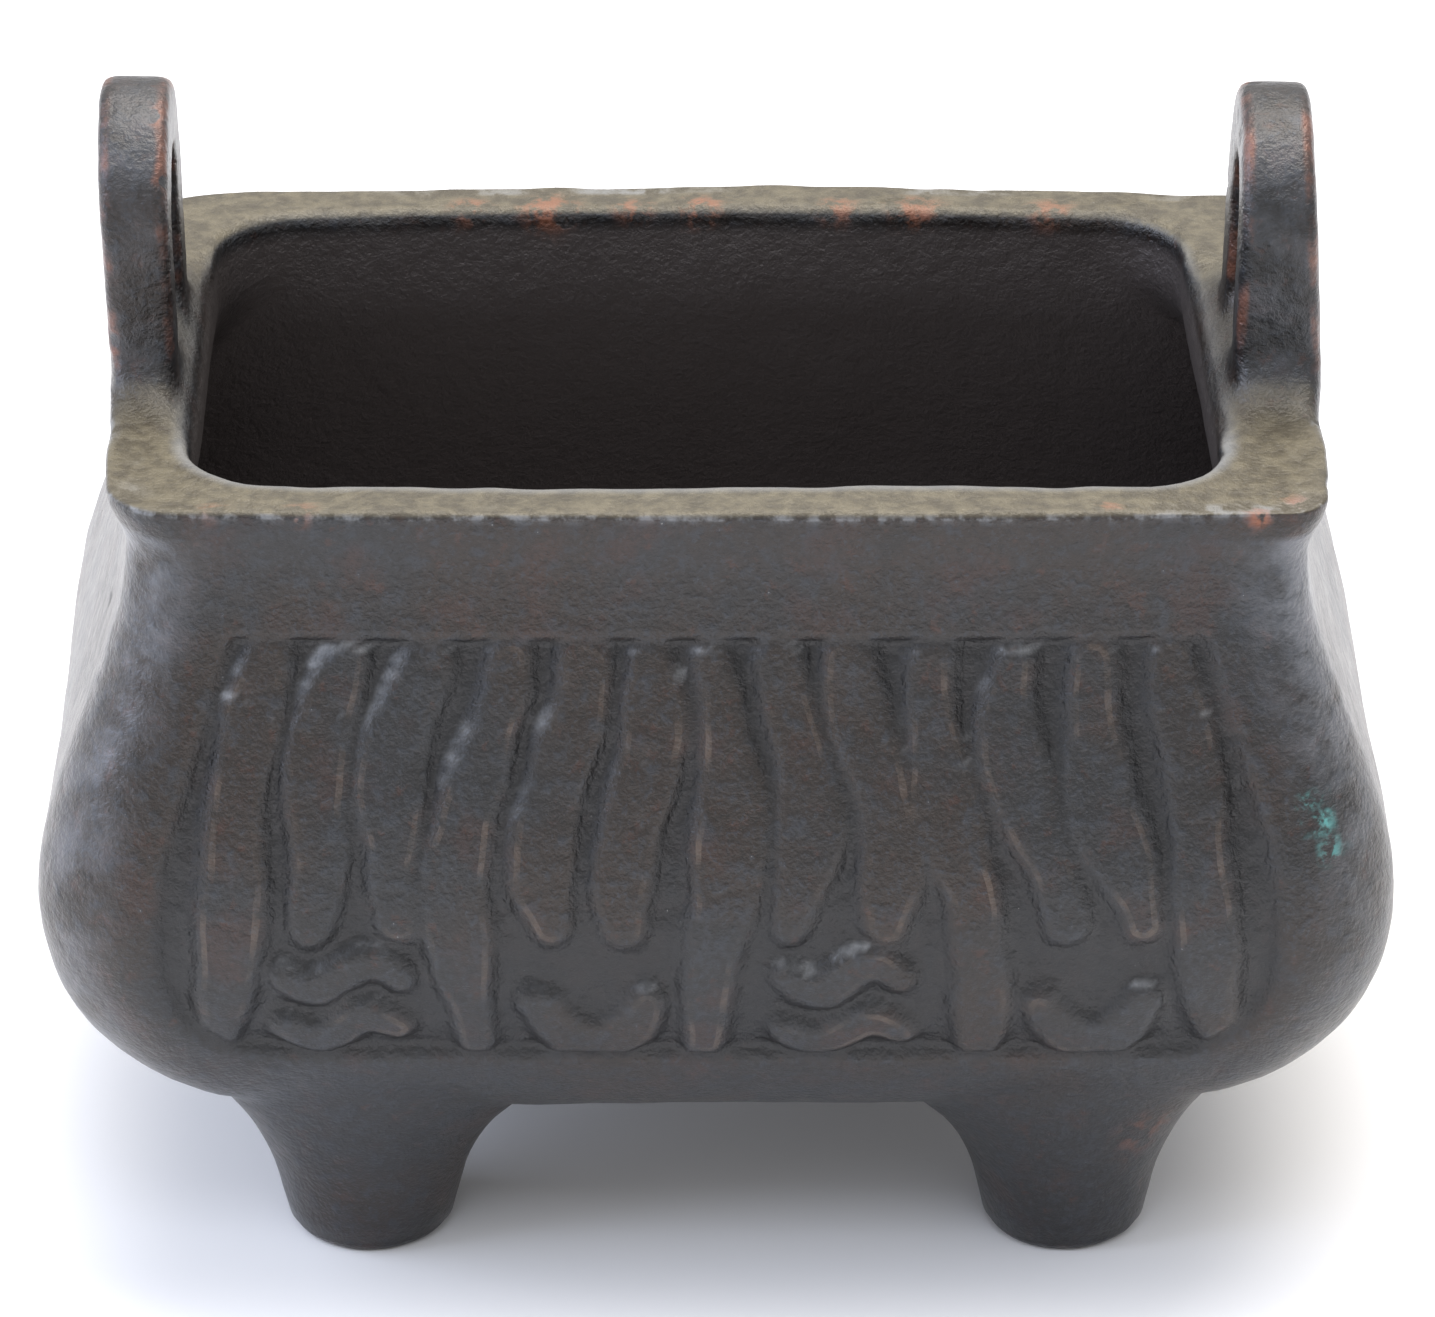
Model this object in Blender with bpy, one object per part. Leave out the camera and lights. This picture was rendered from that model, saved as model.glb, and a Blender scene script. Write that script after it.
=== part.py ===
# Cast bronze incense burner: a swelling rectangular bowl on four stub feet, with two loop handles on its rim
from collections import namedtuple
from math import cos, pi, radians, sin, sqrt

import bmesh
import bpy
from mathutils import Vector
from mathutils.bvhtree import BVHTree

MM = 0.001

# Heights of the bowl above the ground
RIM_HEIGHT = 65.0 * MM
BELLY_HEIGHT = 32.0 * MM
BASE_HEIGHT = 12.3 * MM

# Plan sizes, measured at the middle of each side
BELLY_WIDTH = 100.4 * MM
BELLY_DEPTH = 67.6 * MM
SIDE_SWELL = 5.2 * MM
FACE_SWELL = 5.0 * MM
SIDE_UNDERCUT = 18.2 * MM
FACE_UNDERCUT = 14.0 * MM

# How far the corners lie behind the middle of each bowed side
RIM_SIDE_BOW = 1.0 * MM
RIM_FRONT_BOW = 0.5 * MM
RIM_BACK_BOW = 2.2 * MM
BELLY_FRONT_BOW = 0.8 * MM
BELLY_BACK_BOW = 1.5 * MM

# The casting is a little askew: its right side closes in towards the back
RIGHT_SIDE_SKEW = 1.2 * MM

# Corner radii in plan
RIM_CORNER_LEFT = 5.0 * MM
RIM_CORNER_RIGHT = 3.0 * MM
BELLY_CORNER = 9.0 * MM
BASE_CORNER = 5.0 * MM
MOUTH_CORNER = 6.5 * MM
CORNER_KEPT = 0.4

# Rim edge and the shallow hollow that runs in under it
RIM_EDGE = 0.5 * MM
SIDE_COVE = 1.3 * MM
FACE_COVE = 0.5 * MM
COVE_HEIGHT = 4.2 * MM
COVE_STATIONS = (0.0, 0.3, 0.6)

# Widths of the flat ledge around the mouth
LEDGE_LEFT = 6.5 * MM
LEDGE_RIGHT = 8.2 * MM
LEDGE_FRONT = 5.0 * MM
LEDGE_BACK = 4.5 * MM
MOUTH_BACK_BOW = 1.6 * MM

# Inside of the bowl
WALL = 3.8 * MM
FLOOR = 4.0 * MM
LIP_DROP = 4.5 * MM
SHOULDER_DROP = 7.0 * MM
SHOULDER_STATIONS = (0.25, 0.5, 0.75)

# Feet
FOOT_SIDE_INSET = 23.8 * MM
FOOT_FACE_INSET = 15.8 * MM
FOOT_TOE_RADIUS = 5.0 * MM
FOOT_TOE_ROUND = 1.0 * MM
FOOT_ANKLE_RADIUS = 8.8 * MM
FOOT_FLARE = 5.0 * MM
FOOT_ROOT = 1.0 * MM
FOOT_FLARE_START = 0.35
FOOT_FLARE_FADE = 3
FOOT_STATIONS = (0.09, 0.35, 0.6, 0.78, 0.9, 0.97)

# Handles
HANDLE_WIDTH = 18.0 * MM
HANDLE_LEFT_HEIGHT = 21.0 * MM
HANDLE_RIGHT_HEIGHT = 20.4 * MM
HANDLE_LEFT_BASE = 4.9 * MM
HANDLE_LEFT_TOP = 5.5 * MM
HANDLE_LEFT_SETBACK = 0.2 * MM
HANDLE_LEFT_LEAN = -0.9 * MM
HANDLE_RIGHT_BASE = 6.7 * MM
HANDLE_RIGHT_TOP = 5.1 * MM
HANDLE_RIGHT_SETBACK = 0.3 * MM
HANDLE_RIGHT_LEAN = 1.0 * MM
HANDLE_FLARE = 5.0 * MM
HANDLE_FLARE_HEIGHT = 4.2 * MM
HANDLE_ROOT = 1.5 * MM
HANDLE_EDGE_ROUND = 0.6 * MM
HANDLE_LEG = 5.5 * MM
HANDLE_HOLE_SILL = 1.6 * MM
HANDLE_HOLE_CORNER = 2.0 * MM

# Relief panels
RELIEF_DEPTH = 0.9 * MM
PANEL_BAND = 9.7 * MM
PANEL_SOLE = 8.7 * MM
PANEL_MARGIN = 8.0 * MM
PANEL_FOOT_CORNER = 10.0 * MM
PANEL_TOP_CORNER = 1.5 * MM
STROKE_GAP = 0.9 * MM
STROKE_PITCH = 6.1 * MM
STROKE_GROUP = 3
STROKE_WIDTH = 4.0 * MM
STROKE_SWAY = 1.0 * MM
STROKE_WAVES = 0.8
STROKE_TURN = 0.125
STROKE_TIP = 0.6
STROKE_SWELL = 0.15
STROKE_BEATS = 1.3
CRESCENT_WIDTH = 3.4 * MM
CRESCENT_SAG = 3.8 * MM
RIPPLE_WIDTH = 2.5 * MM
RIPPLE_HEIGHT = 1.1 * MM
RIPPLE_SPACING = 5.0 * MM
LOWER_STROKE_REACH = 0.8
LOWER_ROW_HEIGHT = 11.5 * MM
BACK_STROKE_PITCH = 10.0 * MM

# Resolution
CORNER_STEPS = 5
LONG_SIDE_STEPS = 6
SHORT_SIDE_STEPS = 4
SWELL_STEPS = 7
UNDERCUT_STEPS = 6
FOOT_SIDES = 20
HANDLE_FLARE_STEPS = 4
HANDLE_ARCH_STEPS = 6
HOLE_FOOT_STEPS = 3
HOLE_ARCH_STEPS = 4
PANEL_EDGE_STEPS = 14
STROKE_STEPS = 8
WELD_DISTANCE = 0.01 * MM

# Finish
BRONZE_COLOUR = (0.060, 0.052, 0.045, 1.0)
BRONZE_ROUGHNESS = 0.48
BRONZE_METALLIC = 0.85
SMOOTH_ANGLE = radians(40)

Section = namedtuple(
    "Section", "left right front back corner_left corner_right side_bow front_bow back_bow")


def blend(start, end, share):
    return Section(*(a + (b - a) * share for a, b in zip(start, end)))


def inset(section, amount):
    reach = [side - amount for side in section[:4]]
    corners = [max(radius - amount, CORNER_KEPT * radius) for radius in section[4:6]]
    return Section(*reach, *corners, *section[6:])


def section_ring(section, height):
    """Points of a rounded rectangle with bowed sides, anticlockwise from the middle of the right side."""
    centre_x = (section.right - section.left) / 2
    centre_y = (section.back - section.front) / 2
    half_x = (section.right + section.left) / 2
    half_y = (section.back + section.front) / 2
    quarters = ((1, 1, section.corner_right), (-1, 1, section.corner_left),
                (-1, -1, section.corner_left), (1, -1, section.corner_right))
    flat = []
    for index, (sign_x, sign_y, radius) in enumerate(quarters):
        arc = []
        for step in range(CORNER_STEPS + 1):
            angle = pi / 2 * (index + step / CORNER_STEPS)
            arc.append((sign_x * (half_x - radius) + radius * cos(angle),
                        sign_y * (half_y - radius) + radius * sin(angle)))
        flat.append(arc)
    ring = []
    for index, arc in enumerate(flat):
        ring += arc
        following = flat[(index + 1) % 4][0]
        steps = LONG_SIDE_STEPS if index % 2 == 0 else SHORT_SIDE_STEPS
        for step in range(1, steps):
            share = step / steps
            ring.append((arc[-1][0] + (following[0] - arc[-1][0]) * share,
                         arc[-1][1] + (following[1] - arc[-1][1]) * share))
    points = []
    for x, y in ring:
        face_bow = section.back_bow if y > 0 else section.front_bow
        bowed_x = x * (1 - section.side_bow / half_x * (y / half_y) ** 2)
        bowed_y = y * (1 - face_bow / half_y * (x / half_x) ** 2)
        skew = RIGHT_SIDE_SKEW * max(x / half_x, 0.0) * (0.5 + 0.5 * y / half_y)
        points.append(Vector((centre_x + bowed_x - skew, centre_y + bowed_y, height)))
    return points


BELLY = Section(
    BELLY_WIDTH / 2, BELLY_WIDTH / 2, BELLY_DEPTH / 2, BELLY_DEPTH / 2,
    BELLY_CORNER, BELLY_CORNER, 0.0, BELLY_FRONT_BOW, BELLY_BACK_BOW)
RIM = Section(
    BELLY.left - SIDE_SWELL, BELLY.right - SIDE_SWELL, BELLY.front - FACE_SWELL, BELLY.back - FACE_SWELL,
    RIM_CORNER_LEFT, RIM_CORNER_RIGHT, RIM_SIDE_BOW, RIM_FRONT_BOW, RIM_BACK_BOW)
NECK = Section(
    RIM.left - SIDE_COVE, RIM.right - SIDE_COVE, RIM.front - FACE_COVE, RIM.back - FACE_COVE,
    RIM_CORNER_LEFT, RIM_CORNER_RIGHT, RIM_SIDE_BOW, RIM_FRONT_BOW, RIM_BACK_BOW)
BASE = Section(
    BELLY.left - SIDE_UNDERCUT, BELLY.right - SIDE_UNDERCUT, BELLY.front - FACE_UNDERCUT,
    BELLY.back - FACE_UNDERCUT, BASE_CORNER, BASE_CORNER, 0.0, BELLY_FRONT_BOW, BELLY_BACK_BOW)
MOUTH = Section(
    RIM.left - LEDGE_LEFT, RIM.right - LEDGE_RIGHT, RIM.front - LEDGE_FRONT, RIM.back - LEDGE_BACK,
    MOUTH_CORNER, MOUTH_CORNER, 0.0, RIM_FRONT_BOW, MOUTH_BACK_BOW)
NECK_HEIGHT = RIM_HEIGHT - RIM_EDGE - COVE_HEIGHT


def smooth(share):
    share = min(max(share, 0.0), 1.0)
    return share * share * (3 - 2 * share)


def outer_section(height):
    """Plan of the bowl's outside at a height between the belly and the neck."""
    return blend(NECK, BELLY, smooth((NECK_HEIGHT - height) / (NECK_HEIGHT - BELLY_HEIGHT)))


def swell_heights(top):
    """Even steps from a height in the neck down to just above the belly."""
    drop = (top - BELLY_HEIGHT) / SWELL_STEPS
    return [top - drop * step for step in range(SWELL_STEPS)]


def undercut_rings(belly, base, base_height):
    """Rings of the quarter round that closes the bowl from the belly down to a flat base."""
    rings = []
    for step in range(UNDERCUT_STEPS + 1):
        angle = pi / 2 * step / UNDERCUT_STEPS
        height = BELLY_HEIGHT - (BELLY_HEIGHT - base_height) * sin(angle)
        rings.append(section_ring(blend(base, belly, cos(angle)), height))
    return rings


def outside_rings(shrink=0.0):
    rings = [section_ring(inset(RIM, shrink), RIM_HEIGHT)]
    for share in COVE_STATIONS:
        cove = inset(blend(RIM, NECK, smooth(share)), shrink)
        rings.append(section_ring(cove, RIM_HEIGHT - RIM_EDGE - share * COVE_HEIGHT))
    for height in swell_heights(NECK_HEIGHT):
        rings.append(section_ring(inset(outer_section(height), shrink), height))
    return rings + undercut_rings(inset(BELLY, shrink), inset(BASE, shrink), BASE_HEIGHT + shrink)


def cavity_rings():
    """The hollow: a straight lip under the mouth, a shoulder, then an even wall down to the floor."""
    lip_foot = RIM_HEIGHT - LIP_DROP
    shoulder_foot = lip_foot - SHOULDER_DROP
    rings = [section_ring(MOUTH, RIM_HEIGHT + LIP_DROP), section_ring(MOUTH, lip_foot)]
    for share in SHOULDER_STATIONS:
        height = lip_foot - SHOULDER_DROP * share
        rings.append(section_ring(blend(MOUTH, inset(outer_section(height), WALL), smooth(share)), height))
    for height in swell_heights(shoulder_foot):
        rings.append(section_ring(inset(outer_section(height), WALL), height))
    return rings + undercut_rings(inset(BELLY, WALL), inset(BASE, WALL), BASE_HEIGHT + FLOOR)


def loft(rings):
    """A closed solid through rings that run downwards, capped at both ends."""
    mesh = bmesh.new()
    loops = [[mesh.verts.new(point) for point in ring] for ring in rings]
    for upper, lower in zip(loops, loops[1:]):
        for index in range(len(upper)):
            following = (index + 1) % len(upper)
            mesh.faces.new((upper[index], lower[index], lower[following], upper[following]))
    mesh.faces.new(loops[0])
    mesh.faces.new(reversed(loops[-1]))
    return mesh


def prisms(outlines, near, far):
    """Solids that run front to back between two depths, one for each outline drawn in width and height."""
    mesh = bmesh.new()
    for outline in outlines:
        face = mesh.faces.new([mesh.verts.new((x, near, z)) for x, z in outline])
        moved = bmesh.ops.extrude_face_region(mesh, geom=[face])["geom"]
        corners = [item for item in moved if isinstance(item, bmesh.types.BMVert)]
        bmesh.ops.translate(mesh, verts=corners, vec=(0, far - near, 0))
    bmesh.ops.recalc_face_normals(mesh, faces=mesh.faces)
    return mesh


def new_object(name, mesh, collection):
    data = bpy.data.meshes.new(name)
    mesh.to_mesh(data)
    mesh.free()
    thing = bpy.data.objects.new(name, data)
    collection.objects.link(thing)
    return thing


def new_cutter(name, mesh, collection):
    cutter = new_object(name, mesh, collection)
    cutter.hide_render = True
    cutter.display_type = "WIRE"
    return cutter


def combine(target, tool, operation):
    step = target.modifiers.new(f"{operation.lower()} {tool.name}", "BOOLEAN")
    step.operation = operation
    step.solver = "EXACT"
    step.object = tool


# Feet
def foot_taper(share):
    """Radius of a foot from its toe, at 0, to where it meets the bowl, at 1, without its flare."""
    toe = FOOT_TOE_RADIUS + FOOT_TOE_ROUND
    return toe + (FOOT_ANKLE_RADIUS - toe) * share


def foot_flare(share):
    """How far a foot spreads where it runs into the bowl."""
    rise = max(0.0, (share - FOOT_FLARE_START) / (1 - FOOT_FLARE_START))
    return FOOT_FLARE * (1 - sqrt(max(0.0, 1 - rise * rise)))


def foot_mesh(centre_x, centre_y, underside):
    """A foot whose top follows the underside of the bowl and is rooted inside it.

    Its flare fades where the underside climbs away above the base.
    """
    mesh = bmesh.new()
    upward = Vector((0, 0, 1))
    stations = []
    for angle in (0.0, pi / 4):
        share = FOOT_TOE_ROUND * (1 - cos(angle)) / BASE_HEIGHT
        stations.append((share, FOOT_TOE_RADIUS + FOOT_TOE_ROUND * sin(angle), 0.0))
    stations += [(share, foot_taper(share), foot_flare(share)) for share in FOOT_STATIONS]
    stations.append((1.0, foot_taper(FOOT_STATIONS[-1]), foot_flare(FOOT_STATIONS[-1])))
    loops = []
    for share, taper, flare in stations:
        loop = []
        for side in range(FOOT_SIDES):
            outward = Vector((cos(2 * pi * side / FOOT_SIDES), sin(2 * pi * side / FOOT_SIDES), 0))
            place = Vector((centre_x, centre_y, -BASE_HEIGHT)) + outward * taper
            level = BASE_HEIGHT / underside.ray_cast(place, upward)[0].z
            place += outward * flare * level ** FOOT_FLARE_FADE
            roof = underside.ray_cast(place, upward)[0].z
            height = share * roof if share < 1 else roof + FOOT_ROOT
            loop.append(mesh.verts.new((place.x, place.y, height)))
        loops.append(loop)
    for lower, upper in zip(loops, loops[1:]):
        for side in range(FOOT_SIDES):
            following = (side + 1) % FOOT_SIDES
            mesh.faces.new((lower[side], lower[following], upper[following], upper[side]))
    mesh.faces.new(reversed(loops[0]))
    crown = mesh.verts.new((centre_x, centre_y, BASE_HEIGHT + FOOT_ROOT))
    for side in range(FOOT_SIDES):
        mesh.faces.new((loops[-1][side], loops[-1][(side + 1) % FOOT_SIDES], crown))
    return mesh


def add_feet(bowl, cutters):
    outside = bmesh.new()
    outside.from_mesh(bowl.data)
    underside = BVHTree.FromBMesh(outside)
    outside.free()
    reach_x = BELLY_WIDTH / 2 - FOOT_SIDE_INSET
    reach_y = BELLY_DEPTH / 2 - FOOT_FACE_INSET
    places = {"front_left": (-1, -1), "front_right": (1, -1), "back_left": (-1, 1), "back_right": (1, 1)}
    for name, (sign_x, sign_y) in places.items():
        foot = new_cutter(f"foot_{name}", foot_mesh(sign_x * reach_x, sign_y * reach_y, underside), cutters)
        combine(bowl, foot, "UNION")


# Handles
def arch_outline(height):
    """Outside edge of a handle, as depth and height: flared feet under a round arch."""
    half = HANDLE_WIDTH / 2
    spring = height - half
    right = [(half + HANDLE_FLARE, -HANDLE_ROOT), (half + HANDLE_FLARE, 0.0)]
    for step in range(1, HANDLE_FLARE_STEPS + 1):
        angle = pi / 2 * step / HANDLE_FLARE_STEPS
        right.append((half + HANDLE_FLARE * (1 - sin(angle)), HANDLE_FLARE_HEIGHT * (1 - cos(angle))))
    for step in range(HANDLE_ARCH_STEPS + 1):
        angle = pi / 2 * step / HANDLE_ARCH_STEPS
        right.append((half * cos(angle), spring + half * sin(angle)))
    left = [(-y, z) for y, z in reversed(right[:-1])]
    return right + left


def hole_outline(height):
    """The handle's opening: a slot with a round top and rounded lower corners."""
    half = HANDLE_WIDTH / 2 - HANDLE_LEG
    spring = height - HANDLE_LEG - half
    round_foot = min(HANDLE_HOLE_CORNER, half)
    right = []
    for step in range(HOLE_FOOT_STEPS + 1):
        angle = pi / 2 * step / HOLE_FOOT_STEPS
        right.append((half - round_foot * (1 - sin(angle)), HANDLE_HOLE_SILL + round_foot * (1 - cos(angle))))
    for step in range(HOLE_ARCH_STEPS + 1):
        angle = pi / 2 * step / HOLE_ARCH_STEPS
        right.append((half * cos(angle), spring + half * sin(angle)))
    left = [(-y, z) for y, z in reversed(right[:-1])]
    return right + left


def handle_mesh(height, base_thickness, top_thickness, lean):
    """A handle stood on the plane of the rim, its outer face at 0 and its thickness running to -X.

    The outline is drawn twice as thick as the base, and each rounded edge is then moved to its own face.
    """
    curve = bpy.data.curves.new("handle outline", "CURVE")
    curve.dimensions = "2D"
    curve.fill_mode = "BOTH"
    curve.extrude = base_thickness - HANDLE_EDGE_ROUND
    curve.bevel_depth = HANDLE_EDGE_ROUND
    curve.bevel_resolution = 1
    curve.offset = -HANDLE_EDGE_ROUND
    for outline in (arch_outline(height), hole_outline(height)):
        spline = curve.splines.new("POLY")
        spline.points.add(len(outline) - 1)
        for point, (y, z) in zip(spline.points, outline):
            point.co = (y, z, 0.0, 1.0)
        spline.use_cyclic_u = True
    guide = bpy.data.objects.new("handle outline", curve)
    bpy.context.scene.collection.objects.link(guide)
    evaluated = guide.evaluated_get(bpy.context.evaluated_depsgraph_get())
    flat = bpy.data.meshes.new_from_object(evaluated)
    mesh = bmesh.new()
    mesh.from_mesh(flat)
    bmesh.ops.remove_doubles(mesh, verts=mesh.verts, dist=WELD_DISTANCE)
    bpy.data.objects.remove(guide)
    bpy.data.meshes.remove(flat)
    bpy.data.curves.remove(curve)
    for vert in mesh.verts:
        y, z, across = vert.co
        rise = max(z, 0.0) / height
        thickness = base_thickness + (top_thickness - base_thickness) * rise
        inward = base_thickness - abs(across)
        face = -inward if across > 0 else inward - thickness
        vert.co = (face - lean * rise, y, z)
    bmesh.ops.recalc_face_normals(mesh, faces=mesh.faces)
    return mesh


def add_handles(bowl, cutters):
    left = handle_mesh(HANDLE_LEFT_HEIGHT, HANDLE_LEFT_BASE, HANDLE_LEFT_TOP, HANDLE_LEFT_LEAN)
    handle_left = new_cutter("handle_left", left, cutters)
    handle_left.location = (HANDLE_LEFT_SETBACK - RIM.left, 0.0, RIM_HEIGHT)
    handle_left.rotation_euler.z = radians(180)
    right = handle_mesh(HANDLE_RIGHT_HEIGHT, HANDLE_RIGHT_BASE, HANDLE_RIGHT_TOP, HANDLE_RIGHT_LEAN)
    handle_right = new_cutter("handle_right", right, cutters)
    handle_right.location = (RIM.right - HANDLE_RIGHT_SETBACK, 0.0, RIM_HEIGHT)
    combine(bowl, handle_left, "UNION")
    combine(bowl, handle_right, "UNION")


# Relief panels
PANEL_TOP = RIM_HEIGHT - PANEL_BAND
PANEL_FOOT = BASE_HEIGHT + PANEL_SOLE


def panel_reach(height):
    """Half width of the panel at a height, without its rounded corners."""
    return outer_section(max(height, BELLY_HEIGHT)).right - PANEL_MARGIN


def corner_cut(distance, radius):
    """How far a rounded corner pulls an edge in, at a distance from the corner's end."""
    if distance >= radius:
        return 0.0
    return radius - sqrt(radius * radius - (radius - distance) ** 2)


def panel_outline():
    height = PANEL_TOP - PANEL_FOOT
    right = []
    for step in range(PANEL_EDGE_STEPS + 1):
        z = PANEL_FOOT + height * (1 - cos(pi * step / PANEL_EDGE_STEPS)) / 2
        pull = corner_cut(z - PANEL_FOOT, PANEL_FOOT_CORNER) + corner_cut(PANEL_TOP - z, PANEL_TOP_CORNER)
        right.append((panel_reach(z) - pull, z))
    return right + [(-x, z) for x, z in reversed(right)]


def panel_floor(x):
    """Height of the panel's lower edge at a place across it."""
    return PANEL_FOOT + corner_cut(panel_reach(PANEL_FOOT) - abs(x), PANEL_FOOT_CORNER)


def ribbon(spine, half_widths):
    """Outline of a stroke along a centre line, as wide as stated at each of its points."""
    near, far = [], []
    for index, (x, z) in enumerate(spine):
        before = spine[max(index - 1, 0)]
        after = spine[min(index + 1, len(spine) - 1)]
        along = Vector((after[0] - before[0], after[1] - before[1])).normalized()
        half = half_widths[index]
        near.append((x + along.y * half, z - along.x * half))
        far.append((x - along.y * half, z + along.x * half))
    return near + far[::-1]


def swelling(width, share):
    """Half width of a stroke that narrows to both tips, at a place between -1 and 1 along it."""
    return width / 2 * (1 - (1 - STROKE_TIP) * share * share)


def tall_stroke(place, foot, top, turn):
    """An upright wavy stroke which leans out with the bowl and swells unevenly along its way."""
    spine, half_widths = [], []
    for step in range(STROKE_STEPS + 1):
        share = step / STROKE_STEPS
        z = foot + (top - foot) * share
        sway = STROKE_SWAY * sin(2 * pi * (STROKE_WAVES * share + turn))
        spine.append((place * (panel_reach(z) - PANEL_TOP_CORNER) + sway, z))
        beat = STROKE_SWELL * sin(2 * pi * (STROKE_BEATS * share + 2 * turn))
        half_widths.append(swelling(STROKE_WIDTH, 2 * share - 1) * (1 + beat))
    return ribbon(spine, half_widths)


def crescent(centre_x, centre_z, reach, sag):
    """A bowl-shaped stroke, thick in the middle, which rises to a thin tip at each end."""
    spine, half_widths = [], []
    for step in range(STROKE_STEPS + 1):
        share = 2 * step / STROKE_STEPS - 1
        spine.append((centre_x + reach * share, centre_z + sag * (share * share - 1)))
        half_widths.append(swelling(CRESCENT_WIDTH, share))
    return ribbon(spine, half_widths)


def ripple(centre_x, centre_z, reach):
    """A short stroke lying down, which rises and falls once."""
    spine, half_widths = [], []
    for step in range(STROKE_STEPS + 1):
        share = 2 * step / STROKE_STEPS - 1
        spine.append((centre_x + reach * share, centre_z + RIPPLE_HEIGHT * sin(pi * share)))
        half_widths.append(swelling(RIPPLE_WIDTH, share))
    return ribbon(spine, half_widths)


def front_strokes():
    """Tall wavy strokes, the first of each group full height, with a crescent or ripples below the others."""
    reach = panel_reach(BELLY_HEIGHT) - PANEL_TOP_CORNER
    groups = int((2 * reach / STROKE_PITCH - 1) // STROKE_GROUP)
    count = STROKE_GROUP * groups + 1
    spacing = 2 * (reach - STROKE_WIDTH) / (count - 1)
    strokes = []
    for index in range(count):
        across = spacing * index - (reach - STROKE_WIDTH)
        full = index % STROKE_GROUP == 0
        foot = panel_floor(across) + STROKE_GAP if full else PANEL_FOOT + LOWER_ROW_HEIGHT
        strokes.append(tall_stroke(across / reach, foot, PANEL_TOP - STROKE_GAP, STROKE_TURN * index))
    for group in range(groups):
        across = spacing * STROKE_GROUP * (group + 0.5) - (reach - STROKE_WIDTH)
        middle = PANEL_FOOT + LOWER_ROW_HEIGHT / 2
        if group % 2:
            strokes.append(crescent(across, middle, LOWER_STROKE_REACH * spacing, CRESCENT_SAG))
        else:
            for shift in (-RIPPLE_SPACING / 2, RIPPLE_SPACING / 2):
                strokes.append(ripple(across, middle + shift, LOWER_STROKE_REACH * spacing))
    return strokes


def back_strokes():
    """One row of plain upright strokes."""
    reach = panel_reach(BELLY_HEIGHT) - PANEL_TOP_CORNER
    count = int(2 * reach // BACK_STROKE_PITCH)
    spacing = 2 * (reach - STROKE_WIDTH) / (count - 1)
    strokes = []
    for index in range(count):
        across = spacing * index - (reach - STROKE_WIDTH)
        foot = panel_floor(across) + STROKE_GAP
        strokes.append(tall_stroke(across / reach, foot, PANEL_TOP - STROKE_GAP, 0.0))
    return strokes


def add_panel(bowl, name, side, strokes, core, cutters):
    """Sinks the ground of a panel around strokes that stay flush with the bowl's face."""
    near = side * BASE.front
    far = side * (BELLY_DEPTH / 2 + WALL)
    ground = new_cutter(f"{name}_ground", prisms([panel_outline()], near, far), cutters)
    raised = new_cutter(f"{name}_strokes", prisms(strokes, near - side * WALL, far + side * WALL), cutters)
    combine(ground, raised, "DIFFERENCE")
    combine(ground, core, "DIFFERENCE")
    combine(bowl, ground, "DIFFERENCE")


def bronze():
    material = bpy.data.materials.new("patinated bronze")
    material.use_nodes = True
    shader = material.node_tree.nodes["Principled BSDF"]
    shader.inputs["Base Color"].default_value = BRONZE_COLOUR
    shader.inputs["Roughness"].default_value = BRONZE_ROUGHNESS
    shader.inputs["Metallic"].default_value = BRONZE_METALLIC
    material.diffuse_color = BRONZE_COLOUR
    return material


def main():
    for thing in list(bpy.data.objects):
        bpy.data.objects.remove(thing)
    collection = bpy.data.collections.new("Incense burner")
    cutters = bpy.data.collections.new("Cutters")
    bpy.context.scene.collection.children.link(collection)
    bpy.context.scene.collection.children.link(cutters)

    bowl = new_object("incense_burner", loft(outside_rings()), collection)
    bowl.data.materials.append(bronze())
    bowl.data.shade_smooth()
    bowl.data.set_sharp_from_angle(angle=SMOOTH_ANGLE)

    add_feet(bowl, cutters)
    add_handles(bowl, cutters)
    cavity = new_cutter("cavity", loft(cavity_rings()), cutters)
    combine(bowl, cavity, "DIFFERENCE")
    core = new_cutter("relief_core", loft(outside_rings(RELIEF_DEPTH)), cutters)
    add_panel(bowl, "front", -1, front_strokes(), core, cutters)
    add_panel(bowl, "back", 1, back_strokes(), core, cutters)


main()
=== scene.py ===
# Cast bronze incense burner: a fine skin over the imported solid, its patina, and a plain studio
from collections import namedtuple
from math import cos, pi, radians, sin, sqrt

import bmesh
import bpy
import numpy as np
from mathutils import Matrix, Vector, kdtree, noise
from mathutils.bvhtree import BVHTree


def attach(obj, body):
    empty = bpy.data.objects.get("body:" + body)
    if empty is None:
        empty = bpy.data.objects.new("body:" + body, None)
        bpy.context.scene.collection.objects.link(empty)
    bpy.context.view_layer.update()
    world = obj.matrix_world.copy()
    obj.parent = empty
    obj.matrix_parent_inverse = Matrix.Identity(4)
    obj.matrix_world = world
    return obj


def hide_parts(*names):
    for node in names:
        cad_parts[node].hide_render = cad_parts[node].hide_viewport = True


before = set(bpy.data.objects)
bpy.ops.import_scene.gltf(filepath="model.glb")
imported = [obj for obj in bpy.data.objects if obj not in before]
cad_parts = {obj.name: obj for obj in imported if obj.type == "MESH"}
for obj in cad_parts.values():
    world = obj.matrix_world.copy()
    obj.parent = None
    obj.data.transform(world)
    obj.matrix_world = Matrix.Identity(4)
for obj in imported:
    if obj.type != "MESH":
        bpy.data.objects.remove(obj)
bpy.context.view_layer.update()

# Sizes are in millimetres; the finished mesh is brought to metres at the end
mm = 0.001
sameSpot = 0.001  # points of a skin this near each other are one point
touching = 0.01  # a point this near a surface lies on it

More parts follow.
